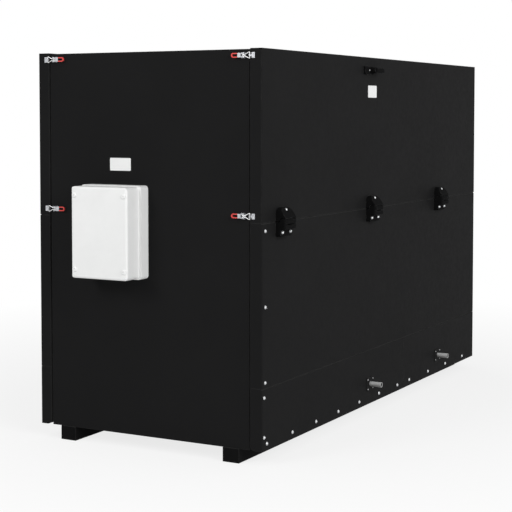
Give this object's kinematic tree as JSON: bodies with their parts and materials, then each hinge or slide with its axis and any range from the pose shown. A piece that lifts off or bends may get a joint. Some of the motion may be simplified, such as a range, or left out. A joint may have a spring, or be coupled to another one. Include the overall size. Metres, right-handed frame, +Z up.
{
  "type": "air handling unit",
  "caption": "Black insulated air handling cabinet on two skids, with a fold-down access door, toggle latches, junction box, drain spigots and flanged duct collars.",
  "frame": {"origin": "on the floor, under the middle of the whole unit's box, drains, junction box and duct collars included", "axes": "+Z up; +Y along the length, from the end with the junction box to the end with the duct collars; +X out of the side with the door"},
  "size_m": [1.076, 2.507, 1.555],
  "materials": {
    "black_paint": "satin black powder coat",
    "black_plastic": "moulded black polyamide, fine grain",
    "zinc": "bright zinc plate",
    "red_plastic": "dipped red vinyl",
    "white_plastic": "moulded off-white plastic",
    "drain_steel": "dull steel tube",
    "galvanised_sheet": "galvanised sheet"
  },
  "bodies": {
    "cabinet": {"left_skid": "black_paint", "right_skid": "black_paint", "floor_panel": "black_paint", "left_front_skirt": "black_paint", "left_rear_skirt": "black_paint", "right_front_skirt": "black_paint", "right_rear_skirt": "black_paint", "left_lower_panel": "black_paint", "right_lower_panel": "black_paint", "left_upper_panel": "black_paint", "right_front_post": "black_paint", "right_rear_post": "black_paint", "door_sill_rail": "black_paint", "door_head_rail": "black_paint", "front_end_panel": "black_paint", "rear_end_panel": "black_paint", "roof_panel": "black_paint", "hinge_lower_leaves": "black_plastic", "toggle_keepers": "zinc", "toggle_bases": "zinc", "junction_box_base": "white_plastic", "junction_box_lid": "white_plastic", "front_drain_flange": "black_paint", "rear_drain_flange": "black_paint", "front_drain_spigot": "drain_steel", "rear_drain_spigot": "drain_steel", "lower_duct_collar": "galvanised_sheet", "upper_duct_collar": "galvanised_sheet"},
    "door": {"access_door": "black_paint", "hinge_upper_leaves": "black_plastic", "door_latch_base": "black_plastic"},
    "latch_handle": {"door_latch_handle": "black_plastic"},
    "upper_left_lever": {"upper_left_toggle_lever": "zinc", "upper_left_toggle_grip": "red_plastic"},
    "upper_left_bail": {"upper_left_toggle_bail": "zinc"},
    "upper_right_lever": {"upper_right_toggle_lever": "zinc", "upper_right_toggle_grip": "red_plastic"},
    "upper_right_bail": {"upper_right_toggle_bail": "zinc"},
    "lower_left_lever": {"lower_left_toggle_lever": "zinc", "lower_left_toggle_grip": "red_plastic"},
    "lower_left_bail": {"lower_left_toggle_bail": "zinc"},
    "lower_right_lever": {"lower_right_toggle_lever": "zinc", "lower_right_toggle_grip": "red_plastic"},
    "lower_right_bail": {"lower_right_toggle_bail": "zinc"}
  },
  "joints": [
    {"name": "door_swing", "type": "hinge", "parent": "cabinet", "child": "door", "pos_m": [0.513, 0.0335, 0.908], "axis": [0, 1, 0], "range_deg": [0, 95]},
    {"name": "latch_turn", "type": "hinge", "parent": "door", "child": "latch_handle", "pos_m": [0.482, -0.1515, 1.499], "axis": [-1, 0, 0], "range_deg": [0, 90]},
    {"name": "upper_left_lever_turn", "type": "hinge", "parent": "cabinet", "child": "upper_left_lever", "pos_m": [-0.463, -1.1315, 1.529], "axis": [0, 0, -1], "range_deg": [0, 120]},
    {"name": "upper_left_bail_turn", "type": "hinge", "parent": "upper_left_lever", "child": "upper_left_bail", "pos_m": [-0.456, -1.1315, 1.529], "axis": [0, 0, -1], "range_deg": [-115, 0]},
    {"name": "upper_right_lever_turn", "type": "hinge", "parent": "cabinet", "child": "upper_right_lever", "pos_m": [0.407, -1.1315, 1.529], "axis": [0, 0, 1], "range_deg": [0, 120]},
    {"name": "upper_right_bail_turn", "type": "hinge", "parent": "upper_right_lever", "child": "upper_right_bail", "pos_m": [0.4, -1.1315, 1.529], "axis": [0, 0, 1], "range_deg": [-115, 0]},
    {"name": "lower_left_lever_turn", "type": "hinge", "parent": "cabinet", "child": "lower_left_lever", "pos_m": [-0.463, -1.1315, 0.933], "axis": [0, 0, -1], "range_deg": [0, 120]},
    {"name": "lower_left_bail_turn", "type": "hinge", "parent": "lower_left_lever", "child": "lower_left_bail", "pos_m": [-0.456, -1.1315, 0.933], "axis": [0, 0, -1], "range_deg": [-115, 0]},
    {"name": "lower_right_lever_turn", "type": "hinge", "parent": "cabinet", "child": "lower_right_lever", "pos_m": [0.407, -1.1315, 0.933], "axis": [0, 0, 1], "range_deg": [0, 120]},
    {"name": "lower_right_bail_turn", "type": "hinge", "parent": "lower_right_lever", "child": "lower_right_bail", "pos_m": [0.4, -1.1315, 0.933], "axis": [0, 0, 1], "range_deg": [-115, 0]}
  ],
  "couplings": [
    {"joint": "upper_left_bail_turn", "follows": "upper_left_lever_turn", "ratio": -0.95},
    {"joint": "upper_right_bail_turn", "follows": "upper_right_lever_turn", "ratio": -0.95},
    {"joint": "lower_left_bail_turn", "follows": "lower_left_lever_turn", "ratio": -0.95},
    {"joint": "lower_right_bail_turn", "follows": "lower_right_lever_turn", "ratio": -0.95}
  ]
}
